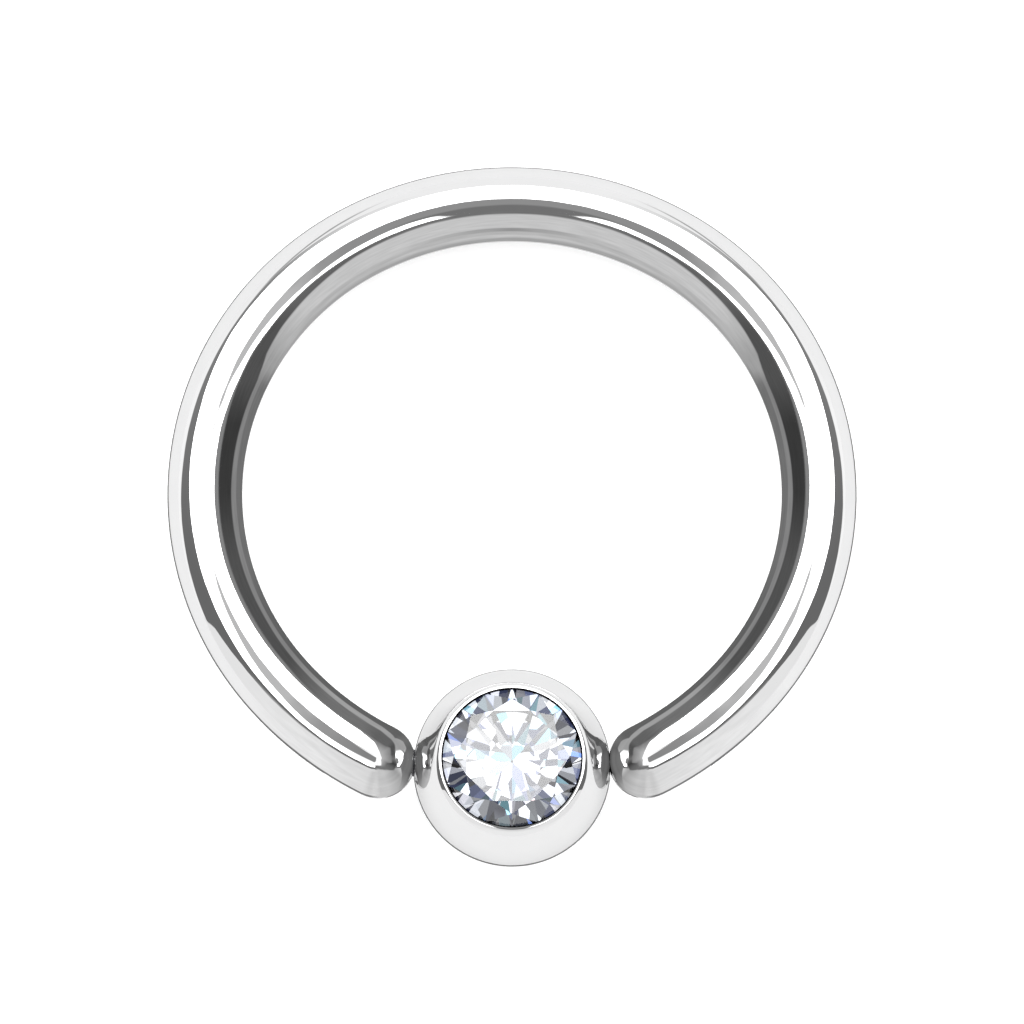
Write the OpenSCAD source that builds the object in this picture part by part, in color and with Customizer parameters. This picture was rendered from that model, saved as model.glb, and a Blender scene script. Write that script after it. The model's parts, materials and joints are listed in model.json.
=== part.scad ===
// Fixed bead ring: a hoop of round steel wire whose left end is welded to a bead.
// The free right end rests in a shallow dimple of the bead, and the bead holds a round brilliant stone.
// The ring lies on its back with the stone up. The origin is on the surface, under the middle of its box.

/* [Wire] */
// Thickness of the round wire
wire_d = 1.6; // [1.55:0.01:1.7]
// Height of the centre line above the middle of the hoop at the top
top_y = 6.56; // [6.5:0.01:6.6]
// Bending radius of the centre line across the top
crown_r = 6.95; // [6.9:0.01:7]
// Bending radius of the centre line down the sides
side_r = 6.2; // [6.15:0.01:6.25]
// Bending radius of the centre line towards the ends
end_r = 7.1; // [7:0.01:7.2]
// Bearing from the top where the crown arc becomes the side arc, in degrees
crown_to = 28; // [27:0.5:29]
// Bearing from the top where the side arc becomes the end arc, in degrees
side_to = 130; // [129:0.5:131]
// Bearing from the top where the wire ends in a half ball, in degrees
end_to = 153.3; // [153:0.1:153.6]

/* [Bead] */
// Diameter of the ball
bead_d = 4.2; // [4.1:0.05:4.3]
// Distance of the ball's centre below the middle of the hoop
bead_drop = 5.64; // [5.6:0.01:5.8]
// Height of the flat rim above the ball's centre
rim_z = 1.36; // [1.34:0.01:1.4]
// Radius where the flat rim turns into its narrow chamfer
rim_r = 1.565; // [1.55:0.005:1.57]
// Radius where the chamfer runs out on the ball
chamfer_r = 1.63; // [1.62:0.01:1.64]
// Radius of the hole drilled below the stone
drill_r = 0.9; // [0.6:0.05:1]
// Depth of that hole below the ball's centre
drill_depth = 0.3; // [0.2:0.05:0.6]
// Diameter of the fused stub between the wire and the ball
weld_d = 0.5; // [0.48:0.02:0.7]

/* [Stone] */
// Diameter of the stone across its girdle
stone_d = 3; // [2.96:0.01:3]
// Width of the table as a share of the diameter
table_share = 0.7; // [0.6:0.01:0.72]
// Slope of the crown main facets, in degrees
crown_slope = 34.5; // [32:0.5:36]
// Slope of the pavilion main facets, in degrees
pavilion_slope = 41; // [40:0.5:42]
// Thickness of the girdle at the corners of its facets
girdle_t = 0.09; // [0.08:0.01:0.1]
// Share of the crown's width that the star facets take
star_share = 0.5; // [0.4:0.05:0.6]
// Share of the pavilion's width that the lower girdle facets take
lower_share = 0.77; // [0.7:0.01:0.8]
// Radius of the tiny flat culet
culet_r = 0.03; // [0.02:0.01:0.06]
// Turn of the stone in its seat, in degrees
stone_turn = 22.5; // [0:0.5:45]

/* [Fit] */
// Gap between the free end of the wire and its dimple
end_gap = 0.03; // [0.02:0.01:0.05]
// Gap between the stone and its seat
seat_gap = 0.025; // [0.02:0.005:0.03]
// Depth of the stone's girdle below the flat rim
girdle_sink = 0.04; // [0.035:0.005:0.05]
// Reach of the burnished lip over the girdle
lip_reach = 0.015; // [0.01:0.005:0.02]

/* [Hidden] */
$fn = 96;

wire_r = wire_d / 2;
bead_r = bead_d / 2;

// Arcs of the centre line, from the top of the hoop down one side.
RADIUS = 0;
FROM = 1;
TO = 2;
arcs = [
    [crown_r, 0, crown_to],
    [side_r, crown_to, side_to],
    [end_r, side_to, end_to]
];

// Direction of a bearing counted from the top of the hoop, clockwise.
function bearing(a) = [sin(a), cos(a), 0];

// Each arc starts where the one before it ends, with the same direction there.
function arc_centre(i) = i == 0
    ? [0, top_y - crown_r, 0]
    : arc_centre(i - 1) + (arcs[i - 1][RADIUS] - arcs[i][RADIUS]) * bearing(arcs[i][FROM]);

// Centre of the half ball at the right end of the wire, and of the ball that closes the hoop.
wire_end = arc_centre(2) + end_r * bearing(end_to);
bead_at = [0, -bead_drop, 0];
end_to_bead = bead_at - wire_end;
end_spacing = norm(end_to_bead);
end_turn = atan2(end_to_bead.y, end_to_bead.x);

// The hoop touches the surface at its far top and the bead beside it, so its plane leans towards the top.
lean = asin((bead_r - wire_r) / (top_y + bead_drop));
plane_z = bead_r - bead_drop * sin(lean);
middle_y = (bead_r - wire_r + (bead_drop - top_y) * cos(lean)) / 2;

// Heights of the stone above the ball's centre, and the radii of its corners.
stone_r = stone_d / 2;
girdle_top = rim_z - girdle_sink;
girdle_bottom = girdle_top - girdle_t;
table_r = stone_r * table_share;
table_z = girdle_top + (stone_r - table_r) * tan(crown_slope);

// Eight main facets go round the stone, with the girdle facets in pairs between their middles.
mains = 8;
half_step = 180 / mains;
girdle_x = stone_r * cos(half_step / 2);

// Corner where two crown mains, one star and two upper girdle facets meet.
star_x = table_r * cos(half_step);
star_r = star_x + (stone_r - star_x) * star_share;
star_z = girdle_top + (stone_r - star_r * cos(half_step)) * tan(crown_slope);
upper_rise = (star_z - girdle_top) / (girdle_x - star_r * cos(half_step / 2));

// Corner where two pavilion mains and two lower girdle facets meet.
lower_r = stone_r * (1 - lower_share);
lower_z = girdle_bottom - (stone_r - lower_r * cos(half_step)) * tan(pavilion_slope);
lower_rise = (girdle_bottom - lower_z) / (girdle_x - lower_r * cos(half_step / 2));
culet_z = girdle_bottom - (stone_r - culet_r * cos(half_step)) * tan(pavilion_slope);

// Equal corners round the stone, the first at a turn from the first main facet.
function corner_row(first_turn, r, z) = [
    for (k = [0:mains - 1])
        let (a = first_turn + 2 * k * half_step)
            [r * cos(a), r * sin(a), z]
];

// Edge of the girdle, which is ground away a little in the middle of each facet along it.
girdle_steps = 4;
function girdle_edge(z, rise) = [
    for (k = [0:2 * mains * girdle_steps - 1])
        let (a = k * half_step / girdle_steps, off = a % half_step - half_step / 2)
            [stone_r * cos(a), stone_r * sin(a), z - (stone_r * cos(off) - girdle_x) * rise]
];

corners = concat(
    corner_row(0, table_r, table_z),
    corner_row(half_step, star_r, star_z),
    girdle_edge(girdle_top, upper_rise),
    girdle_edge(girdle_bottom, -lower_rise),
    corner_row(half_step, lower_r, lower_z),
    corner_row(half_step, culet_r, culet_z)
);

// Seat for the stone: its cone keeps the gap from the pavilion, and its lip from the crown.
bore_r = stone_r + seat_gap;
lip_r = stone_r - lip_reach;
seat_drop = seat_gap / cos(pavilion_slope);
bore_bottom = girdle_bottom - seat_drop + seat_gap * tan(pavilion_slope);
cone_bottom = girdle_bottom - seat_drop - (stone_r - drill_r) * tan(pavilion_slope);

// Height where the rim's chamfer meets the ball, and how far the cut above it reaches past the ball.
chamfer_z = sqrt(bead_r * bead_r - chamfer_r * chamfer_r);
clear = bead_d;

// Puts what is drawn in the plane of the hoop where the ring rests on the surface.
module at_rest() {
    translate([0, middle_y, plane_z])
        rotate([-lean, 0, 0])
            children();
}

// Moves in a coarse and a fine step, so that neighbouring arcs meet in exactly the same circle.
module set_at(place) {
    coarse = [for (v = place) round(v * 1000) / 1000];
    translate(coarse)
        translate(place - coarse)
            children();
}

// Stretch of round wire bent about an upright axis, between two angles counted from +X.
module bent_wire(radius, start, angle) {
    rotate_extrude(start = start, angle = angle)
        translate([radius, 0])
            circle(r = wire_r);
}

// The side arc and the end arc on the right side of the hoop.
module side_arcs() {
    for (i = [1:len(arcs) - 1])
        set_at(arc_centre(i))
            bent_wire(arcs[i][RADIUS], 90 - arcs[i][TO], arcs[i][TO] - arcs[i][FROM]);
}

// Half ball that rounds the right end of the wire.
module wire_tip() {
    set_at(wire_end)
        rotate_extrude(start = -90 - end_to, angle = 180)
            intersection() {
                circle(r = wire_r);
                translate([0, -wire_r])
                    square([wire_r, wire_d]);
            }
}

module ring_wire() {
    color("silver") {
        set_at(arc_centre(0))
            bent_wire(crown_r, 90 - crown_to, 2 * crown_to);
        for (side = [0, 1])
            mirror([side, 0, 0]) {
                side_arcs();
                wire_tip();
            }
    }
}

// What is cut away for the stone: everything above the rim, the stone's seat and the drilled hole.
module stone_seat() {
    rotate_extrude()
        polygon([
            [0, -drill_depth],
            [drill_r, -drill_depth],
            [drill_r, cone_bottom],
            [bore_r, bore_bottom],
            [bore_r, girdle_top],
            [lip_r, rim_z],
            [rim_r, rim_z],
            [chamfer_r, chamfer_z],
            [clear, chamfer_z],
            [clear, clear],
            [0, clear]
        ]);
}

module bead() {
    color("gainsboro")
        difference() {
            translate(bead_at)
                sphere(r = bead_r);
            translate(bead_at)
                stone_seat();
            translate(wire_end)
                sphere(r = wire_r + end_gap);
        }
}

// Fused stub that carries the bead on the left end of the wire.
module weld_neck() {
    color("silver")
        mirror([1, 0, 0])
            translate(wire_end)
                rotate([0, 90, end_turn])
                    cylinder(d = weld_d, h = end_spacing - bead_r + wire_r);
}

module ring_and_bead() {
    at_rest()
        union() {
            ring_wire();
            bead();
            weld_neck();
        }
}

// Stone as the convex body of all its corners, which makes every facet a flat face.
module brilliant() {
    hull()
        polyhedron(points = corners, faces = [[for (k = [0:len(corners) - 1]) k]]);
}

module stone() {
    color("lightsteelblue")
        at_rest()
            translate(bead_at)
                rotate([0, 0, stone_turn])
                    brilliant();
}

ring_and_bead();
stone();
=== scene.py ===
"""Looks of the fixed bead ring: polished steel, cut stone, pale floor, soft studio light and the camera.

Lengths are in metres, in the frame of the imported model. The hoop's own plane has its middle at the
origin, +Y towards the top of the hoop and +Z out of the stone's side; REST lays it on the floor.
"""
import json
import math

import bmesh
import bpy
from mathutils import Matrix, Vector

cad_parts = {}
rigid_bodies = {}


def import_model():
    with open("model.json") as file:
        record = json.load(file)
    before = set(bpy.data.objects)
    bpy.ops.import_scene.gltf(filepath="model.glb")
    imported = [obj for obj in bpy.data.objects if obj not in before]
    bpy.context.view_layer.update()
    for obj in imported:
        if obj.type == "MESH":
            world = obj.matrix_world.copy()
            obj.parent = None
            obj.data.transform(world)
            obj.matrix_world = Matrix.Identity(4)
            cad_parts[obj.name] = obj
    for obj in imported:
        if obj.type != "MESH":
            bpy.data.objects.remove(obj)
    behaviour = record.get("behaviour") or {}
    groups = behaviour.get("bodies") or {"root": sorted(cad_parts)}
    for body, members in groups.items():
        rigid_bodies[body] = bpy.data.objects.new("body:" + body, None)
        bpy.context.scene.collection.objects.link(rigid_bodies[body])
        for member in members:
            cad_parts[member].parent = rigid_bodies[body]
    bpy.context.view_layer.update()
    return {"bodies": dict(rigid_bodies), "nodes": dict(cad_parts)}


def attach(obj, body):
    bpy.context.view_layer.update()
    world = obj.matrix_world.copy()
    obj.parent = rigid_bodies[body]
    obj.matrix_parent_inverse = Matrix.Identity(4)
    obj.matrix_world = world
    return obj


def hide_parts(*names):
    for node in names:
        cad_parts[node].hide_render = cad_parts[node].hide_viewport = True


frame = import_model()
BODY = next(iter(frame["bodies"]))

MM = 0.001

# Wire: bending radius and bearings from the top of the hoop, for each arc of the centre line
WIRE_R = 0.8 * MM
TOP_Y = 6.56 * MM
ARCS = (
    (6.95 * MM, math.radians(0), math.radians(28)),
    (6.2 * MM, math.radians(28), math.radians(130)),
    (7.1 * MM, math.radians(130), math.radians(153.3)),
)
END_BEARING = ARCS[-1][2]

# Bead and its two contacts with the wire
BEAD_R = 2.1 * MM
BEAD_DROP = 5.64 * MM
BEAD_AT = Vector((0, -BEAD_DROP, 0))
END_GAP = 0.03 * MM
WELD_FILLET = 0.018 * MM

# Rounded rim of the seat, from the ball inwards: width in millimetres and slope in degrees of each step
RIM_FOOT_R = 1.64 * MM
RIM_STEPS = (
    (0.008, 45),
    (0.02, 42),
    (0.02, 39.5),
    (0.012, 37),
    (0.012, 34),
    (0.011, 29),
    (0.01, 24),
    (0.012, 16),
    (0.014, 9),
    (0.014, 3),
)

# Seat of the stone: radii about its axis, and heights above the bead's centre
LIP_EDGE_R = 1.488 * MM
LIP_DEPTH = 0.03 * MM
BORE_R = 1.525 * MM
GIRDLE_TOP = 1.32 * MM
BORE_BOTTOM = 1.219 * MM
CONE_BOTTOM = 0.675 * MM
DRILL_R = 0.9 * MM
DRILL_DEPTH = 0.3 * MM

# How finely the round forms are divided
WIRE_SIDES = 72
WIRE_SPACING = 0.1 * MM
CAP_STEPS = 14
BEAD_SIDES = 224
BEAD_STEPS = 72
DIMPLE_SIDES = 96
DIMPLE_STEPS = 64
WELD_SIDES = 72
FILLET_STEPS = 8
SHARP_FROM = math.radians(32)

# The hoop lies on its far top and on the bead, so its plane leans by this much
LEAN = math.asin((BEAD_R - WIRE_R) / (TOP_Y + BEAD_DROP))
PLANE_Z = BEAD_R - BEAD_DROP * math.sin(LEAN)
MIDDLE_Y = (BEAD_R - WIRE_R + (BEAD_DROP - TOP_Y) * math.cos(LEAN)) / 2
REST = Matrix.Translation((0, MIDDLE_Y, PLANE_Z)) @ Matrix.Rotation(-LEAN, 4, "X")

# Camera: its angle off the axis of the hoop, and the size of a pixel in the plane of the hoop
IMAGE_SIDE = 1024
PIXEL = 0.021333 * MM
HOOP_MIDDLE_Y_PX = 507
CAMERA_OFF_AXIS = math.radians(9.8)
CAMERA_TILT = CAMERA_OFF_AXIS - LEAN
CAMERA_DISTANCE = 500 * MM
SENSOR = 36


def bearing(angle):
    """Direction in the plane of the hoop, counted from its top towards +X."""
    return Vector((math.sin(angle), math.cos(angle), 0))


def heading(angle):
    """Direction along the wire at a bearing, clockwise round the hoop."""
    return Vector((math.cos(angle), -math.sin(angle), 0))


def arc_centre(index):
    """Centre of an arc on the right side, where each arc leaves the one before it without a kink."""
    if index == 0:
        return Vector((0, TOP_Y - ARCS[0][0], 0))
    step = ARCS[index - 1][0] - ARCS[index][0]
    return arc_centre(index - 1) + bearing(ARCS[index][1]) * step


def centre_line(angle):
    """Point of the centre line at a bearing between the two ends of the wire."""
    tolerance = 1e-9
    side = -1 if angle < 0 else 1
    index = next(i for i, arc in enumerate(ARCS) if abs(angle) <= arc[2] + tolerance)
    point = arc_centre(index) + bearing(abs(angle)) * ARCS[index][0]
    return Vector((side * point.x, point.y, 0))


def share_of(value, first, last):
    """Where a value lies between two others, from 0 to 1."""
    return min(1, max(0, (value - first) / (last - first)))


def steps(first, last, spacing):
    """Evenly spaced values from the first up to the last, without the last."""
    count = math.ceil((last - first) / spacing)
    return [first + (last - first) * k / count for k in range(count)]


def full_turn(sides):
    """Cosine and sine of equal steps round a circle."""
    angles = [2 * math.pi * k / sides for k in range(sides)]
    return [(math.cos(angle), math.sin(angle)) for angle in angles]


def new_object(name, data):
    """Object with its mesh or camera, linked to the scene."""
    obj = bpy.data.objects.new(name, data)
    bpy.context.scene.collection.objects.link(obj)
    return obj


def loft(name, rings, first_pole, last_pole):
    """Closed mesh through rings with equally many points, with a point at either end."""
    mesh = bmesh.new()
    rows = [[mesh.verts.new(p) for p in ring] for ring in rings]
    count = len(rows[0])
    for low, high in zip(rows, rows[1:]):
        for k in range(count):
            n = (k + 1) % count
            mesh.faces.new((low[k], low[n], high[n], high[k]))
    for pole, row, order in ((first_pole, rows[0], -1), (last_pole, rows[-1], 1)):
        tip = mesh.verts.new(pole)
        for k in range(count):
            n = (k + 1) % count
            mesh.faces.new((row[k], row[n], tip)[::order])
    bmesh.ops.recalc_face_normals(mesh, faces=mesh.faces)
    data = bpy.data.meshes.new(name)
    mesh.to_mesh(data)
    mesh.free()
    return new_object(name, data)


def ring_wire():
    """Round wire along the centre line, with a half ball at either end.

    A station is a bearing, a shift along the wire and a radius. The right side repeats the left one.
    """
    stations = []
    for k in range(1, CAP_STEPS):
        turn = math.radians(90) * k / CAP_STEPS
        stations.append((-END_BEARING, -WIRE_R * math.cos(turn), WIRE_R * math.sin(turn)))
    for radius, start, stop in ARCS[::-1]:
        count = math.ceil(radius * (stop - start) / WIRE_SPACING)
        stations += [(-stop + (stop - start) * k / count, 0, WIRE_R) for k in range(count)]
    stations += [(0, 0, WIRE_R)] + [(-angle, -shift, radius) for angle, shift, radius in stations[::-1]]
    circle = full_turn(WIRE_SIDES)
    rings = []
    for angle, shift, radius in stations:
        middle = centre_line(angle) + heading(angle) * shift
        out = bearing(angle) * radius
        rings.append([middle + out * cos + Vector((0, 0, radius * sin)) for cos, sin in circle])
    tips = []
    for side in (-1, 1):
        end = side * END_BEARING
        tips.append(centre_line(end) + heading(end) * side * WIRE_R)
    return loft("ring_wire", rings, *tips)


def arc_points(centre, radius, start, stop, count):
    """Points of an arc in a profile, between two angles in degrees."""
    angles = [math.radians(start + (stop - start) * k / count) for k in range(count + 1)]
    return [(centre[0] + radius * math.cos(a), centre[1] + radius * math.sin(a)) for a in angles]


def revolve(name, profile, sides):
    """Closed mesh of a profile turned about Z.

    The profile is a list of (radius, height) points that starts and ends on the axis.
    """
    circle = full_turn(sides)
    rings = [[(r * cos, r * sin, z) for cos, sin in circle] for r, z in profile[1:-1]]
    return loft(name, rings, (0, 0, profile[0][1]), (0, 0, profile[-1][1]))


def bead_profile():
    """Outline of the bead from its lowest point over the rim down to the bottom of the drilled hole."""
    beside_pole = -88
    reach = RIM_FOOT_R
    height = math.sqrt(BEAD_R ** 2 - RIM_FOOT_R ** 2)
    runs_out = math.degrees(math.atan2(height, reach))
    rim = []
    for width, slope in RIM_STEPS:
        reach -= width * MM
        height += width * MM * math.tan(math.radians(slope))
        rim.append((reach, height))
    return (
        [(0, -BEAD_R)]
        + arc_points((0, 0), BEAD_R, beside_pole, runs_out, BEAD_STEPS)
        + rim
        + [
            (LIP_EDGE_R, height - LIP_DEPTH),
            (LIP_EDGE_R, height - 1.5 * LIP_DEPTH),
            (BORE_R, GIRDLE_TOP),
            (BORE_R, BORE_BOTTOM),
            (DRILL_R, CONE_BOTTOM),
            (DRILL_R, -DRILL_DEPTH),
            (0, -DRILL_DEPTH),
        ]
    )


def weld_profile(spacing):
    """Spool between the half ball of the wire at height 0 and the bead at the height of the spacing."""
    sunk = 0.05 * MM
    wire_side = WIRE_R + WELD_FILLET
    bead_side = BEAD_R + WELD_FILLET
    height = (spacing ** 2 + wire_side ** 2 - bead_side ** 2) / (2 * spacing)
    reach = math.sqrt(wire_side ** 2 - height ** 2)
    to_wire = math.degrees(math.atan2(-height, -reach))
    to_bead = math.degrees(math.atan2(spacing - height, -reach))
    fillet = arc_points((reach, height), WELD_FILLET, to_wire + 360, to_bead, FILLET_STEPS)
    return [
        (0, fillet[0][1] - sunk),
        (fillet[0][0] - sunk, fillet[0][1] - sunk),
        *fillet,
        (fillet[-1][0] - sunk, fillet[-1][1] + sunk),
        (0, fillet[-1][1] + sunk),
    ]


def combine(obj, other, operation):
    """Adds another closed mesh to obj or cuts it away, and deletes the other one."""
    boolean = obj.modifiers.new(operation.lower(), "BOOLEAN")
    boolean.operation = operation
    boolean.solver = "EXACT"
    boolean.object = other
    graph = bpy.context.evaluated_depsgraph_get()
    made = bpy.data.meshes.new_from_object(obj.evaluated_get(graph))
    obj.modifiers.clear()
    obj.data = made
    bpy.data.objects.remove(other)


def place(obj, matrix):
    """Moves the mesh and leaves the object at the origin."""
    obj.data.transform(matrix)


def is_unpolished_with_painted_shade(point):
    """Whether a point of the metal is in the seat, in the dimple or on the seam of the weld, which are
    unpolished and painted near-black as shade.
    """
    margin = 0.002 * MM
    from_bead = point - BEAD_AT
    reach = math.hypot(from_bead.x, from_bead.y)
    if from_bead.z > -DRILL_DEPTH - margin:
        within_lip = reach < LIP_EDGE_R + LIP_DEPTH / 2
        in_bore = reach < BORE_R + margin and from_bead.z < GIRDLE_TOP + margin
        if within_lip or in_bore:
            return True
    to_bead = from_bead.length
    to_end = (point - centre_line(math.copysign(END_BEARING, point.x))).length
    outside_both = to_end > WIRE_R + margin and to_bead > BEAD_R + margin
    in_dimple = to_end < WIRE_R + END_GAP + margin and to_bead < BEAD_R - margin
    at_contact = to_end < WIRE_R + 2 * END_GAP and to_bead < BEAD_R + 2 * END_GAP
    return at_contact and (outside_both or in_dimple)


def bead():
    """Ball with the seat of its stone and the dimple for the free end of the wire."""
    ball = revolve("bead", bead_profile(), BEAD_SIDES)
    place(ball, Matrix.Translation(BEAD_AT))
    dimple = revolve("dimple", arc_points((0, 0), WIRE_R + END_GAP, -90, 90, DIMPLE_STEPS), DIMPLE_SIDES)
    place(dimple, Matrix.Translation(centre_line(END_BEARING)))
    combine(ball, dimple, "DIFFERENCE")
    return ball


def weld():
    """Fused seam between the left end of the wire and the bead."""
    left_end = centre_line(-END_BEARING)
    to_bead = BEAD_AT - left_end
    seam = revolve("weld", weld_profile(to_bead.length), WELD_SIDES)
    turn = to_bead.to_track_quat("Z", "Y").to_matrix().to_4x4()
    place(seam, Matrix.Translation(left_end) @ turn)
    return seam


def ring_and_bead():
    """The wire, the bead and the weld as one body."""
    metal = bead()
    combine(metal, ring_wire(), "UNION")
    combine(metal, weld(), "UNION")
    metal.name = "polished_ring_and_bead"
    metal.data.materials.clear()
    metal.data.materials.append(polished_steel())
    metal.data.materials.append(unpolished_steel_with_painted_shade())
    # Faces in the seat, the dimple and the weld's seam get the unpolished steel with painted shade.
    for face in metal.data.polygons:
        face.material_index = int(is_unpolished_with_painted_shade(face.center))
    metal.data.shade_smooth()
    metal.data.set_sharp_from_angle(angle=SHARP_FROM)
    place(metal, REST)
    return metal


def new_material(name):
    """A material with one Principled shader, and its node tree."""
    material = bpy.data.materials.new(name)
    material.use_nodes = True
    return material, material.node_tree, material.node_tree.nodes["Principled BSDF"]


def add_node(tree, kind, **settings):
    node = tree.nodes.new(kind)
    for key, value in settings.items():
        setattr(node, key, value)
    return node


def calc(tree, operation, *values):
    """Math node on numbers or sockets."""
    node = add_node(tree, "ShaderNodeMath", operation=operation)
    for socket, value in zip(node.inputs, values):
        if isinstance(value, (int, float)):
            socket.default_value = value
        else:
            tree.links.new(value, socket)
    return node.outputs[0]


def hypotenuse(tree, a, b):
    return calc(tree, "SQRT", calc(tree, "MULTIPLY_ADD", a, a, calc(tree, "MULTIPLY", b, b)))


def vector_calc(tree, operation, vector, constant):
    """Vector Math node on a socket and a constant vector."""
    node = add_node(tree, "ShaderNodeVectorMath", operation=operation)
    tree.links.new(vector, node.inputs[0])
    node.inputs[1].default_value = constant
    return node.outputs["Vector"]


def turned_about_x(tree, vector, angle):
    node = add_node(tree, "ShaderNodeVectorRotate", rotation_type="X_AXIS")
    tree.links.new(vector, node.inputs["Vector"])
    node.inputs["Angle"].default_value = angle
    return node.outputs[0]


def split_vector(tree, vector):
    node = add_node(tree, "ShaderNodeSeparateXYZ")
    tree.links.new(vector, node.inputs[0])
    return node.outputs


def join_vector(tree, *values):
    """Vector of two or three sockets."""
    node = add_node(tree, "ShaderNodeCombineXYZ")
    for socket, value in zip(node.inputs, values):
        tree.links.new(value, socket)
    return node.outputs[0]


def ramp(tree, value, low, high, to_low=0.0, to_high=1.0):
    """Smooth step of a value, from to_low at low to to_high at high."""
    node = add_node(tree, "ShaderNodeMapRange", interpolation_type="SMOOTHSTEP")
    tree.links.new(value, node.inputs["Value"])
    node.inputs["From Min"].default_value = low
    node.inputs["From Max"].default_value = high
    node.inputs["To Min"].default_value = to_low
    node.inputs["To Max"].default_value = to_high
    return node.outputs["Result"]


def noise(tree, coordinates, scale, detail):
    """Noise around a half, whose waves are as long as one divided by the scale."""
    node = add_node(tree, "ShaderNodeTexNoise")
    node.inputs["Scale"].default_value = scale
    node.inputs["Detail"].default_value = detail
    tree.links.new(coordinates, node.inputs["Vector"])
    return node.outputs["Fac"]


def mix(tree, share, first, second):
    """Colour that goes from the first to the second as the share goes from 0 to 1. Either may be a socket."""
    node = add_node(tree, "ShaderNodeMix", data_type="RGBA")
    tree.links.new(share, node.inputs[0])
    for socket, colour in ((node.inputs[6], first), (node.inputs[7], second)):
        if isinstance(colour, tuple):
            socket.default_value = (*colour, 1)
        else:
            tree.links.new(colour, socket)
    return node.outputs[2]


def colour_ramp(tree, value, palette):
    """Colours of a palette, each at its own position between 0 and 1, blended in between."""
    node = add_node(tree, "ShaderNodeValToRGB")
    points = node.color_ramp.elements
    while len(points) < len(palette):
        points.new(0.5)
    for point, (position, colour) in zip(points, palette):
        point.position = position
        point.color = (*colour, 1)
    tree.links.new(value, node.inputs["Fac"])
    return node.outputs["Color"]


def shaded_point(tree):
    """Place of the shaded point in the scene, as the origin of every object is the scene's."""
    return add_node(tree, "ShaderNodeTexCoord").outputs["Object"]


def hoop_coordinates(tree):
    """Distance from the middle of the hoop, height above its plane and bearing, of the shaded point."""
    moved = vector_calc(tree, "SUBTRACT", shaded_point(tree), REST.translation)
    x, y, z = split_vector(tree, turned_about_x(tree, moved, LEAN))
    return hypotenuse(tree, x, y), z, calc(tree, "ARCTAN2", x, y)


def polished_steel():
    """Mirror polish with faint waves, and faint lines along the wire from drawing it."""
    lines_per_mm = 9
    lines_per_radian = 5
    line_share = 0.12
    wave_height = 0.006 * MM
    roughest = 0.05
    darker = (0.79, 0.79, 0.795)
    paler = (0.83, 0.83, 0.83)
    material, tree, shader = new_material("polished_steel")
    spot = shaded_point(tree)
    shader.inputs["Metallic"].default_value = 1
    shader.inputs["Specular Tint"].default_value = (0.92, 0.92, 0.92, 1)
    clouds = noise(tree, spot, scale=1.5 / MM, detail=2)
    tree.links.new(mix(tree, clouds, darker, paler), shader.inputs["Base Color"])
    marks = noise(tree, spot, scale=6 / MM, detail=3)
    tree.links.new(calc(tree, "MULTIPLY", marks, roughest), shader.inputs["Roughness"])
    reach, height, angle = hoop_coordinates(tree)
    along_wire = join_vector(
        tree,
        calc(tree, "MULTIPLY", reach, lines_per_mm / MM),
        calc(tree, "MULTIPLY", height, lines_per_mm / MM),
        calc(tree, "MULTIPLY", angle, lines_per_radian),
    )
    drawn = noise(tree, along_wire, scale=1, detail=3)
    waves = noise(tree, spot, scale=0.9 / MM, detail=1)
    bump = add_node(tree, "ShaderNodeBump")
    bump.inputs["Strength"].default_value = 1
    bump.inputs["Distance"].default_value = wave_height
    tree.links.new(calc(tree, "MULTIPLY_ADD", drawn, line_share, waves), bump.inputs["Height"])
    tree.links.new(bump.outputs[0], shader.inputs["Normal"])
    return material


def unpolished_steel_with_painted_shade():
    """Unpolished steel in the seat below the stone, in the dimple and on the seam of the weld, painted
    near-black as the shade in these recesses and creases.
    """
    smoothest = 0.4
    rough_range = 0.2
    material, tree, shader = new_material("unpolished_steel_with_painted_shade")
    shader.inputs["Metallic"].default_value = 1
    # Painted shade: the near-black colour stands in for the shade in these recesses. The roughness is their
    # real unpolished finish.
    shader.inputs["Base Color"].default_value = (0.06, 0.06, 0.065, 1)
    grain = noise(tree, shaded_point(tree), scale=12 / MM, detail=3)
    roughness = calc(tree, "MULTIPLY_ADD", grain, rough_range, smoothest)
    tree.links.new(roughness, shader.inputs["Roughness"])
    return material


def painted_fire_tints(tree):
    """Painted fire: faint cool colours that differ from facet to facet, by where each one faces, in place of
    the light that the stone splits into colours.
    """
    palette = (
        (0.3, (0.97, 0.98, 1.0)),
        (0.42, (0.84, 0.89, 1.0)),
        (0.5, (0.95, 0.95, 1.0)),
        (0.58, (0.88, 0.96, 1.0)),
        (0.7, (0.97, 0.93, 0.96)),
    )
    facing = add_node(tree, "ShaderNodeNewGeometry").outputs["True Normal"]
    return colour_ramp(tree, noise(tree, facing, scale=5, detail=0), palette)


def reach_from_seat_axis(tree):
    """Distance of the shaded point from the axis of the seat and the stone."""
    from_bead = vector_calc(tree, "SUBTRACT", shaded_point(tree), REST @ BEAD_AT)
    across = vector_calc(tree, "CROSS_PRODUCT", from_bead, REST.to_3x3() @ Vector((0, 0, 1)))
    length = add_node(tree, "ShaderNodeVectorMath", operation="LENGTH")
    tree.links.new(across, length.inputs[0])
    return length.outputs["Value"]


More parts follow.
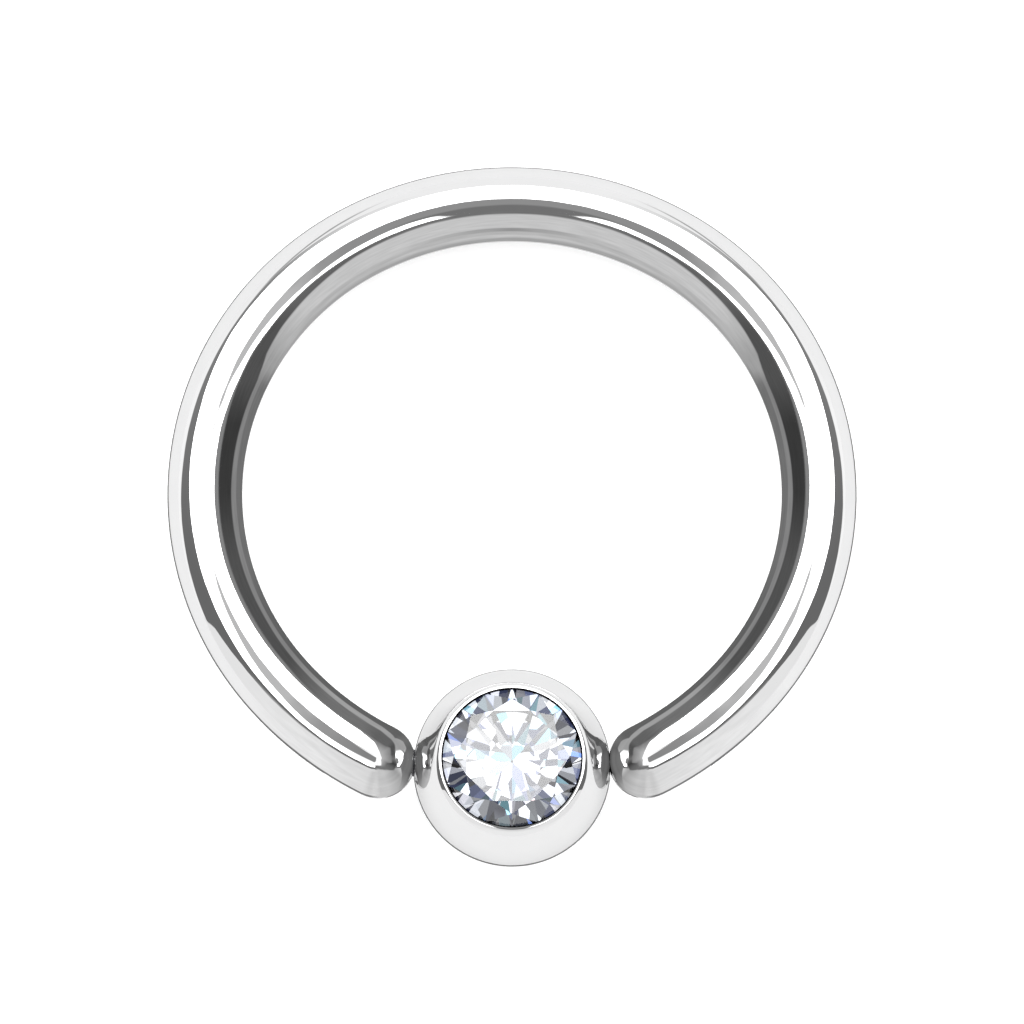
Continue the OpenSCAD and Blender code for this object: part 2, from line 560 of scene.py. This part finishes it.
def clear_stone():
    """Clear stone whose facets are faintly tinted as painted fire, with a painted shadow line along its
    girdle.
    """
    girdle_shadow_from = 1.463 * MM
    girdle_shadow_to = 1.47 * MM
    material, tree, shader = new_material("clear_stone")
    # Painted shadow: the crown's outermost band turns black, in place of the shade in the gap between the
    # stone and the seat's lip.
    painted_girdle_shadow = ramp(tree, reach_from_seat_axis(tree), girdle_shadow_from, girdle_shadow_to)
    # The facets carry painted fire and the girdle band carries painted shadow.
    painted_fire_and_shadow = mix(tree, painted_girdle_shadow, painted_fire_tints(tree), (0.0, 0.0, 0.0))
    tree.links.new(painted_fire_and_shadow, shader.inputs["Base Color"])
    shader.inputs["Transmission Weight"].default_value = 1
    shader.inputs["Roughness"].default_value = 0
    shader.inputs["IOR"].default_value = 2.16
    return material


def dress_stone(stone):
    stone.data.materials.clear()
    stone.data.materials.append(clear_stone())


def floor():
    """Plain pale floor that the ring lies on, exposed so that the camera sees it almost white."""
    half = 3.0
    tone_seen = (0.8, 0.8, 0.8)
    tone_mirrored = (0.2, 0.2, 0.2)
    glow_seen = 0.3
    glow_mirrored = 0.69
    corners = [(-half, -half, 0), (half, -half, 0), (half, half, 0), (-half, half, 0)]
    mesh = bpy.data.meshes.new("floor")
    mesh.from_pydata(corners, [], [(0, 1, 2, 3)])
    obj = new_object("floor", mesh)
    material, tree, shader = new_material("pale_floor")
    seen = add_node(tree, "ShaderNodeLightPath").outputs["Is Camera Ray"]
    tree.links.new(mix(tree, seen, tone_mirrored, tone_seen), shader.inputs["Base Color"])
    glow = calc(tree, "MULTIPLY_ADD", seen, glow_seen - glow_mirrored, glow_mirrored)
    tree.links.new(glow, shader.inputs["Emission Strength"])
    shader.inputs["Emission Color"].default_value = (1, 1, 1, 1)
    shader.inputs["Roughness"].default_value = 0.9
    shader.inputs["Specular IOR Level"].default_value = 0
    mesh.materials.append(material)


# Tones of the cards, where 1 is white in the picture
WHITE = 1.3
PALE = 0.88
LIGHT = 0.68
SOFT = 0.56
GREY = 0.43
MID = 0.28
DIM = 0.2
DARK = 0.15
DEEP = 0.1
BLACK = 0.05

# One strip of card on either side, from the top of the hoop along the inner side of the wire and round its
# half ball. The place is the bearing, and goes on round the half ball from the inside to the outside. Then
# come the slants of the wire's surface towards the card at which it mirrors the card's top edge, the start
# of its dark part, of its pale part and of its foot, and the tones from the top edge to the bottom edge.
# The last column says how far the pale part is left open.
PLACE, EDGE, NIGHT, DAY, FOOT, G_EDGE, G_NIGHT, G_DAY, G_FOOT, G_END, OPEN = range(11)
CARD = (
    (0, 19.5, 21, 24.7, 57, DIM, DIM, LIGHT, SOFT, GREY, 0),
    (15, 19, 20, 24, 57, DIM, DIM, LIGHT, SOFT, GREY, 0),
    (30, 20, 21.3, 26.2, 57, MID, DARK, LIGHT, SOFT, GREY, 0),
    (45, 19.2, 20.8, 31.7, 58, MID, DARK, LIGHT, SOFT, GREY, 0),
    (52, 18.8, 20.3, 34, 58, DIM, DEEP, SOFT, SOFT, GREY, 0),
    (58.5, 17.2, 19.3, 39, 58, DIM, DEEP, GREY, GREY, GREY, 0),
    (61, 17.2, 19.2, 44, 58, MID, DEEP, GREY, GREY, MID, 0),
    (65, 17.2, 19, 48.5, 58, MID, DEEP, MID, DIM, DIM, 0),
    (75, 14.3, 20.8, 47.5, 58, MID, BLACK, MID, DIM, DIM, 0),
    (90, 14.8, 22, 45, 58, MID, BLACK, MID, DIM, DIM, 0),
    (105, 16, 22.5, 44.5, 58, MID, DEEP, MID, DIM, DIM, 0),
    (120, 18.8, 25, 45, 56, MID, DEEP, MID, DARK, DEEP, 0),
    (130, 20.3, 26, 43.5, 56, MID, DEEP, MID, DARK, DEEP, 0),
    (140, 21.5, 23.3, 43, 55, MID, DIM, GREY, DARK, DARK, 0),
    (148, 21, 23, 42, 55, MID, DIM, GREY, DARK, DARK, 0),
    (151.5, 16, 20, 41, 53, MID, DARK, GREY, DARK, DARK, 0),
    (153.3, 6, 18.5, 36.5, 48, SOFT, DARK, GREY, DARK, DARK, 0),
    (168, 5, 19, 35, 44, SOFT, DARK, GREY, DARK, DARK, 0),
    (183, 4.5, 23, 33, 54, SOFT, DEEP, GREY, DIM, DIM, 0),
    (198, 4.5, 21.5, 29, 54, SOFT, DEEP, GREY, DARK, DARK, 0),
    (211, 4.5, 20.5, 28, 44, SOFT, DEEP, GREY, DIM, BLACK, 1),
    (228, 5, 22.5, 29.5, 43.5, SOFT, DIM, GREY, DIM, BLACK, 1),
    (243, 6.5, 25, 34, 44, SOFT, BLACK, GREY, DIM, BLACK, 1),
    (257, 8, 18, 35, 58, SOFT, DARK, GREY, MID, MID, 0),
    (273, 9, 20, 27, 75, SOFT, DIM, SOFT, SOFT, GREY, 0),
    (288, 16.5, 19.5, 23.5, 80, SOFT, DIM, LIGHT, LIGHT, LIGHT, 0),
    (303, 16, 17.5, 21.5, 80, SOFT, DIM, LIGHT, LIGHT, LIGHT, 0),
    (318, 14.8, 16.5, 20, 80, SOFT, DIM, LIGHT, LIGHT, LIGHT, 0),
)

# Places where the inner card starts to wrap round the wire, where the half ball starts and the inner card
# ends, and where the outer card starts, passes the half ball's outer side and ends
WRAP_FROM = 147
HALF_BALL = CARD[16][PLACE]
LAST_PLACE = CARD[-1][PLACE]
OUTER_START = HALF_BALL + 150
OUTER_SIDE = HALF_BALL + 180
OUTER_END = OUTER_SIDE + 26

# Where the card wraps round the wire's end it lies CARD_GAP from the steel, so its tones are painted
# reflections on the end.
# Distance of the upright card from the centre line, and of the wrapped card from the wire
CARD_OFFSET = 0.82 * MM
CARD_GAP = 0.015 * MM
STEEPEST = math.radians(170)

# Faint lines across the card's foot at the top of the hoop: how far down, in parts of the foot, and strength
FOOT_PARTS = 29
FOOT_LINES = ((5, 0.05), (9, 0.25), (13, 0.1))
LINES_UNTIL = 45

# Strength of the darker patch above the foot at the top of the hoop, which darkens the wire's reflection of
# the card there, and over how many degrees the card fades out
PALE_DIP = 0.46
PALE_DIP_UNTIL = 24
LAST_FADE = 15


def card_row(place):
    """Row of the table, blended at a place."""
    for low, high in zip(CARD, CARD[1:]):
        if place <= high[PLACE]:
            share = (place - low[PLACE]) / (high[PLACE] - low[PLACE])
            return [a + (b - a) * share for a, b in zip(low, high)]
    return CARD[-1]


def wraps(place):
    """How far the card wraps closely round the wire's end instead of standing upright beside it."""
    return share_of(place, WRAP_FROM, HALF_BALL)


def card_point(centre, away, slant, wrap):
    """Point of a card that the wire mirrors to the camera where its surface leans towards the card."""
    lean = math.radians(slant)
    rise = min(2 * lean + CAMERA_OFF_AXIS * away.y, STEEPEST)
    across = WIRE_R * math.sin(lean)
    along = CARD_GAP * wrap
    if wrap < 1:
        along += (CARD_OFFSET - across) / math.sin(rise) * (1 - wrap)
    height = WIRE_R * math.cos(lean) + along * math.cos(rise)
    return REST @ (centre + away * (across + along * math.sin(rise)) + Vector((0, 0, height)))


def inner_levels(place):
    """Slants down the inner card at a place, each with its tone and how much it covers.

    They go from a white cap, where the card wraps round the wire's end, over the dark part and the pale part,
    which is darker low down at the top of the hoop and darkens the wire's reflection there, to the foot with
    its faint lines.
    """
    cap_border = 0.3
    pale_border = 1.3
    bottom = 87
    row = card_row(place)
    wrap = wraps(place)
    edge, foot = row[EDGE], row[FOOT]
    pale, low, end = row[G_DAY], row[G_FOOT], row[G_END]
    dark_from = max(edge + 0.4, row[NIGHT] - 1.5)
    dark_to = max(dark_from + 0.6, row[NIGHT] + 1.2)
    pale_from = row[DAY] + pale_border
    pale_to = foot - 9
    part = (bottom - 1 - foot) / FOOT_PARTS
    present = share_of(place, LAST_PLACE, LAST_PLACE - LAST_FADE)
    cover = 1 - row[OPEN]
    lines = share_of(place, LINES_UNTIL, 0)
    dipped_pale = pale * (1 - PALE_DIP * share_of(place, PALE_DIP_UNTIL, 0))
    levels = [
        (edge * (1 - wrap), WHITE, wrap),
        (edge - cap_border * wrap, WHITE, wrap),
        (edge, row[G_EDGE], 1),
        (dark_from, min(row[G_EDGE], MID), 1),
        (dark_to, row[G_NIGHT], 1),
        (row[DAY] - pale_border, row[G_NIGHT], 1),
    ]
    levels += [(pale_from + (pale_to - pale_from) * k / 4, pale, cover) for k in range(5)]
    levels += [(foot - 7.5, dipped_pale, cover), (foot - 2.5, dipped_pale, cover), (foot, low, 1)]
    levels += [(foot + down * part, low * (1 + strength * lines), 1) for down, strength in FOOT_LINES]
    levels += [(foot + 18 * part, (low + end) / 2 * (1 - 0.1 * lines), 1), (bottom, end, 1)]
    return [(slant, tone, share * present) for slant, tone, share in levels]


def outer_levels(place):
    """Slants down the outer card at a place, below the wire's end and up along its outer side.

    A white cap at the top hides the camera's mirror image at the wire's end. The grey band that crosses the
    cap narrows to nothing towards the start of the card.
    """
    cap_starts = (150, 158)
    cap_ends = (187, 181)
    band_widens = (165, 187)
    band_darkens = (165, 177)
    band_rises = (176, 186)
    side_starts = (150, 165)
    side_brightens = (170, 188)
    last_fade = 14
    widest = 6.5
    border = 0.5
    turn = place - HALF_BALL
    cap = min(share_of(turn, *cap_starts), share_of(turn, *cap_ends))
    band = 9 - 1.5 * share_of(turn, *band_rises)
    half_band = widest * share_of(turn, *band_widens) ** 1.5
    band_tone = WHITE + (MID - WHITE) * share_of(turn, *band_darkens)
    cover = min(share_of(turn, *side_starts), share_of(place, OUTER_END, OUTER_END - last_fade))
    tone = LIGHT + (PALE - LIGHT) * share_of(turn, *side_brightens)
    levels = [
        (0, WHITE, cap),
        (band - half_band - border, WHITE, cap),
        (band - half_band, band_tone, cap),
        (band + half_band, band_tone, cap),
        (band + half_band + border, WHITE, cap),
        (15.5, WHITE, cap),
        (16.5, WHITE, 0),
        (25, tone, 0),
    ]
    levels += [(slant, tone * (1 + slant / 600), cover) for slant in (28, 36, 44, 52, 60, 68, 77)]
    levels += [(80, DIM, cover), (88, DIM, cover)]
    return levels


def card_place(side, place):
    """Centre of the wire and direction to the card at a place."""
    turn = place - HALF_BALL
    if turn <= 0:
        angle = side * math.radians(place)
        return centre_line(angle), -bearing(angle)
    if turn > 180:
        angle = side * (END_BEARING - math.radians(turn - 180))
        return centre_line(angle), bearing(angle)
    end = side * END_BEARING
    turned = math.radians(turn)
    away = -bearing(end) * math.cos(turned) + heading(end) * side * math.sin(turned)
    return centre_line(end), away


def new_card_mesh():
    mesh = bmesh.new()
    mesh.verts.layers.float.new("radiance")
    mesh.verts.layers.float.new("cover")
    return mesh


def add_card(mesh, places, levels):
    """Strip on both sides of the ring, with the same number of levels at every place."""
    radiance = mesh.verts.layers.float["radiance"]
    cover = mesh.verts.layers.float["cover"]
    for side in (-1, 1):
        columns = []
        for place in places:
            centre, away = card_place(side, place)
            column = []
            for slant, tone, share in levels(place):
                vert = mesh.verts.new(card_point(centre, away, slant, wraps(place)))
                vert[radiance] = tone
                vert[cover] = share
                column.append(vert)
            columns.append(column)
        for a, b in zip(columns, columns[1:]):
            for k in range(len(a) - 1):
                mesh.faces.new((a[k], b[k], b[k + 1], a[k + 1])[::side])


def cards():
    """Grey cards that only the inner side of the wire, its half balls and its lower outer side mirror. They
    glow close beside the steel, so what the steel shows of them is painted reflection.
    """
    fine_from = 138
    along_wire = steps(0, fine_from, 1.5) + steps(fine_from, HALF_BALL, 0.5)
    round_end = steps(HALF_BALL, LAST_PLACE, 3) + [LAST_PLACE]
    mesh = new_card_mesh()
    add_card(mesh, along_wire + round_end, inner_levels)
    show_in_mirrors(mesh, "inner_cards")
    below_end = steps(OUTER_START, OUTER_SIDE, 2)
    up_outer_side = steps(OUTER_SIDE + 0.01, OUTER_END, 2) + [OUTER_END]
    mesh = new_card_mesh()
    add_card(mesh, below_end + up_outer_side, outer_levels)
    show_in_mirrors(mesh, "outer_cards")


def add_shadow_strip(mesh, centres, outs, radius, reach):
    """Strip of painted shadow on the floor, outside a row of round sections, as wide as their height times
    the reach.
    """
    lift = 0.01 * MM
    radiance = mesh.verts.layers.float["radiance"]
    cover = mesh.verts.layers.float["cover"]
    verts = []
    for centre, out in zip(centres, outs):
        middle = REST @ centre
        for away in (radius + reach * middle.z, radius):
            spot = middle + out * away
            vert = mesh.verts.new((spot.x, spot.y, lift))
            # Painted shadow: the strip glows dim grey where the ring's contact shade would lie.
            vert[radiance] = DIM
            vert[cover] = 1
            verts.append(vert)
    for k in range(0, len(verts) - 2, 2):
        mesh.faces.new((verts[k], verts[k + 1], verts[k + 3], verts[k + 2]))


def painted_contact_shadow():
    """Painted contact shadow on the floor round the ring, a dim strip that only the steel mirrors, and which
    the ring's outermost edge mirrors as a thin outline.
    """
    line_end = 146
    wire_reach = 0.6
    bead_reach = 0.32
    mesh = new_card_mesh()
    angles = [math.radians(place) for place in steps(-line_end, line_end, 2)]
    outs = [bearing(angle) for angle in angles]
    add_shadow_strip(mesh, [centre_line(angle) for angle in angles], outs, WIRE_R, wire_reach)
    outs = [bearing(math.radians(angle)) for angle in range(0, 361, 5)]
    add_shadow_strip(mesh, [BEAD_AT] * len(outs), outs, BEAD_R, bead_reach)
    show_in_mirrors(mesh, "painted_contact_shadow")


def show_in_mirrors(mesh, name):
    """Stage object that only the steel mirrors."""
    data = bpy.data.meshes.new(name)
    mesh.to_mesh(data)
    mesh.free()
    obj = new_object(name, data)
    data.materials.append(card_glow())
    obj.visible_camera = False
    obj.visible_diffuse = False
    obj.visible_transmission = False
    obj.visible_shadow = False


def faint_streaks(tree):
    """Factor about 1 that varies in streaks along the wire."""
    streaks_per_mm = 14
    streaks_per_radian = 9
    least = 0.8
    spread = 0.4
    _, height, angle = hoop_coordinates(tree)
    stretched = join_vector(
        tree,
        calc(tree, "MULTIPLY", height, streaks_per_mm / MM),
        calc(tree, "MULTIPLY", angle, streaks_per_radian),
    )
    return calc(tree, "MULTIPLY_ADD", noise(tree, stretched, scale=1, detail=4), spread, least)


def card_glow():
    """Tone of the cards in the first two mirrors, on the side that faces them, and nothing elsewhere."""
    most_mirrors = 2.5
    material = bpy.data.materials.new("grey_card")
    material.use_nodes = True
    tree = material.node_tree
    tree.nodes.clear()
    radiance = add_node(tree, "ShaderNodeAttribute", attribute_name="radiance").outputs["Fac"]
    cover = add_node(tree, "ShaderNodeAttribute", attribute_name="cover").outputs["Fac"]
    behind = add_node(tree, "ShaderNodeNewGeometry").outputs["Backfacing"]
    mirrors = add_node(tree, "ShaderNodeLightPath").outputs["Glossy Depth"]
    later = calc(tree, "GREATER_THAN", mirrors, most_mirrors)
    uncovered = calc(tree, "SUBTRACT", 1.0, cover)
    unseen = calc(tree, "MAXIMUM", calc(tree, "MAXIMUM", behind, later), uncovered)
    glow = add_node(tree, "ShaderNodeEmission")
    tree.links.new(calc(tree, "MULTIPLY", radiance, faint_streaks(tree)), glow.inputs["Strength"])
    clear = add_node(tree, "ShaderNodeBsdfTransparent")
    choice = add_node(tree, "ShaderNodeMixShader")
    tree.links.new(unseen, choice.inputs[0])
    tree.links.new(glow.outputs[0], choice.inputs[1])
    tree.links.new(clear.outputs[0], choice.inputs[2])
    out = add_node(tree, "ShaderNodeOutputMaterial")
    tree.links.new(choice.outputs[0], out.inputs["Surface"])
    material.cycles.emission_sampling = "NONE"
    return material


# The parts of the studio are masks over two places in degrees off the camera's axis: across, the same to
# either side, and up in the image. An edge or a border is a pair of places between which a part fades in.
# A slope is a pair of places and the values that go with them. A radiance of 1 is white in the picture.


def camera_places(tree, direction):
    """Places across and up of a direction that has the camera's axis as its Z."""
    x, y, z = split_vector(tree, direction)
    off_axis = calc(tree, "MULTIPLY", calc(tree, "ARCCOSINE", z), 180 / math.pi)
    spread = calc(tree, "DIVIDE", off_axis, calc(tree, "MAXIMUM", hypotenuse(tree, x, y), 1e-6))
    across = calc(tree, "ABSOLUTE", calc(tree, "MULTIPLY", x, spread))
    return across, calc(tree, "MULTIPLY", y, spread)


def either(tree, a, b):
    """The greater of two masks or radiances."""
    return calc(tree, "MAXIMUM", a, b)


def both(tree, a, b):
    """Mask of what two masks share."""
    return calc(tree, "MULTIPLY", a, b)


def layer(tree, under, mask, radiance):
    """Radiance of something in front of what is under it, where its mask is."""
    rise = calc(tree, "SUBTRACT", radiance, under)
    return calc(tree, "MULTIPLY_ADD", mask, rise, under)


def add_walls(tree, light, across, up):
    """Dark walls, paler towards the top, within a circle round a point below the axis."""
    outer_edge = (84, 81.5)
    side_edge = (12, 46)
    upper_edge = (48, 40)
    radiance_slope = (-5, 60, 0.165, 0.26)
    circle_drop = 10
    from_middle = hypotenuse(tree, across, calc(tree, "ADD", up, circle_drop))
    beside_or_below = either(tree, ramp(tree, across, *side_edge), ramp(tree, up, *upper_edge))
    mask = both(tree, ramp(tree, from_middle, *outer_edge), beside_or_below)
    return layer(tree, light, mask, ramp(tree, up, *radiance_slope))


def add_slanted_line(tree, light, across, up):
    """Grey line over the dark walls that goes up and inwards on either side."""
    line_edge = (3.2, 1.4)
    lower_edge = (56, 62)
    upper_edge = (90, 76)
    per_across = 0.843
    per_up = 0.537
    distance = 71.2
    radiance = 0.42
    from_line = calc(tree, "MULTIPLY_ADD", up, per_up, -distance)
    from_line = calc(tree, "MULTIPLY_ADD", across, per_across, from_line)
    length = both(tree, ramp(tree, up, *lower_edge), ramp(tree, up, *upper_edge))
    mask = both(tree, ramp(tree, calc(tree, "ABSOLUTE", from_line), *line_edge), length)
    return layer(tree, light, mask, radiance)


def add_table(tree, light, across, up):
    """Pale table in front, whose far edge rises a little to the sides and falls again."""
    middle = -24
    rise_slope = (30, 52, 0, 8)
    fall_slope = (62, 84, 0, -6)
    border = (0.4, -0.4)
    near_slope = (-40, -62, 0.8, 1.02)
    side_slope = (8, 34, 0.8, 0.95)
    bend = calc(tree, "ADD", ramp(tree, across, *rise_slope), ramp(tree, across, *fall_slope))
    far_edge = calc(tree, "ADD", bend, middle)
    mask = ramp(tree, calc(tree, "SUBTRACT", up, far_edge), *border)
    radiance = either(tree, ramp(tree, up, *near_slope), ramp(tree, across, *side_slope))
    return layer(tree, light, mask, radiance)


def add_soft_box(tree, light, across, up):
    """Large soft box overhead, which sags at its upper corners and is rounded off at its lower ones."""
    radiance = 4.0
    top = 61
    sag = 14 / 47 ** 2
    top_border = (0.5, -0.5)
    shoulder = 21
    half_width = 48.5
    depth = 55
    roundness = 1.5
    corner_border = (1.02, 0.98)
    bottom_edge = (-18.5, -17.5)
    top_line = calc(tree, "ADD", calc(tree, "MULTIPLY", calc(tree, "MULTIPLY", across, across), -sag), top)
    below_top = ramp(tree, calc(tree, "SUBTRACT", up, top_line), *top_border)
    wide = calc(tree, "POWER", calc(tree, "DIVIDE", across, half_width), roundness)
    below_shoulder = calc(tree, "MAXIMUM", calc(tree, "SUBTRACT", shoulder, up), 0)
    low = calc(tree, "POWER", calc(tree, "DIVIDE", below_shoulder, depth), roundness)
    within_corners = ramp(tree, calc(tree, "ADD", wide, low), *corner_border)
    mask = both(tree, both(tree, within_corners, below_top), ramp(tree, up, *bottom_edge))
    return layer(tree, light, mask, radiance)


def add_camera_image(tree, light, across, up):
    """The camera as the steel mirrors it: a round hood, darker towards its foot, and the body below."""
    hood_edge = (21.5, 20.2)
    hood_drop = 1.5
    hood_foot = (-7, -4.5)
    hood_top = (18.6, 17.6)
    hood_peak = 19.6
    hood_slope = (0.6, 1.1, 0.33, 0.6)
    body_side = (9, 6.5)
    body_foot = (-27, -25)
    body_top = (2, -4)
    body_radiance = 0.2
    from_hood = hypotenuse(tree, across, calc(tree, "ADD", up, hood_drop))
    hood = both(tree, ramp(tree, from_hood, *hood_edge), ramp(tree, up, *hood_foot))
    hood = both(tree, hood, ramp(tree, up, *hood_top))
    below_peak = calc(tree, "MAXIMUM", calc(tree, "SUBTRACT", hood_peak, up), 0.1)
    shade = ramp(tree, calc(tree, "DIVIDE", across, below_peak), *hood_slope)
    light = layer(tree, light, hood, shade)
    body = both(tree, ramp(tree, up, *body_foot), ramp(tree, up, *body_top))
    body = both(tree, ramp(tree, across, *body_side), body)
    return layer(tree, light, body, body_radiance)


def stone_colours(tree, direction):
    """Sharp patches of black, white and faint colours, into which the stone breaks up what it sends back."""
    palette = (
        (0.32, (0.2, 0.35, 1.0)),
        (0.37, (1.0, 1.0, 1.0)),
        (0.4, (0.01, 0.01, 0.03)),
        (0.425, (0.04, 0.05, 0.1)),
        (0.46, (1.0, 1.0, 1.0)),
        (0.485, (1.0, 1.0, 1.0)),
        (0.5, (0.02, 0.03, 0.08)),
        (0.525, (0.16, 0.18, 0.28)),
        (0.55, (1.0, 1.0, 1.0)),
        (0.575, (0.9, 0.95, 1.0)),
        (0.59, (0.01, 0.01, 0.02)),
        (0.62, (0.04, 0.05, 0.1)),
        (0.66, (0.4, 0.85, 0.95)),
        (0.72, (1.0, 0.8, 0.78)),
    )
    return colour_ramp(tree, noise(tree, direction, scale=3.6, detail=1.5), palette)


def studio():
    """Soft light from all round: a soft box overhead, dark walls, a pale table and the camera itself."""
    surroundings_slope = (30, 62, 1.14, 1.05)
    brightest_through = 1.8
    gain_through = 1.1
    least_through = 0.1
    world = bpy.data.worlds.new("studio")
    bpy.context.scene.world = world
    world.use_nodes = True
    tree = world.node_tree
    background = tree.nodes["Background"]
    around = add_node(tree, "ShaderNodeTexCoord").outputs["Generated"]
    direction = turned_about_x(tree, around, -CAMERA_TILT)
    across, up = camera_places(tree, direction)

    # Pale surroundings, a little darker at the top, and what stands in front of them
    light = ramp(tree, up, *surroundings_slope)
    for add_part in (add_walls, add_slanted_line, add_table, add_soft_box, add_camera_image):
        light = add_part(tree, light, across, up)

    # Through the stone the brightest light is dimmed, and it is broken up into patches
    through = add_node(tree, "ShaderNodeLightPath").outputs["Is Transmission Ray"]
    dimmed = calc(tree, "MINIMUM", light, brightest_through)
    seen_through = calc(tree, "MULTIPLY_ADD", dimmed, gain_through, least_through)
    tree.links.new(layer(tree, light, through, seen_through), background.inputs["Strength"])
    colour = mix(tree, through, (1, 1, 1), stone_colours(tree, direction))
    tree.links.new(colour, background.inputs["Color"])


def camera():
    """Looks at the ring a little off its axis, with the top of the hoop up."""
    back = Vector((0, -math.sin(CAMERA_TILT), math.cos(CAMERA_TILT)))
    up = Vector((0, math.cos(CAMERA_TILT), math.sin(CAMERA_TILT)))
    middle = REST @ Vector((0, 0, 0))
    below = (HOOP_MIDDLE_Y_PX - IMAGE_SIDE / 2) * PIXEL
    data = bpy.data.cameras.new("camera")
    data.sensor_width = SENSOR
    data.lens = SENSOR * CAMERA_DISTANCE / (IMAGE_SIDE * PIXEL)
    data.clip_start = 10 * MM
    data.clip_end = 10
    obj = new_object("camera", data)
    obj.location = middle + up * below + back * CAMERA_DISTANCE
    obj.rotation_mode = "QUATERNION"
    obj.rotation_quaternion = (-back).to_track_quat("-Z", "Y")
    bpy.context.scene.camera = obj


camera()
metal = ring_and_bead()
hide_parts("ring_and_bead")
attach(metal, BODY)
dress_stone(frame["nodes"]["stone"])
floor()
cards()
painted_contact_shadow()
studio()
bpy.context.scene.view_settings.view_transform = "Standard"
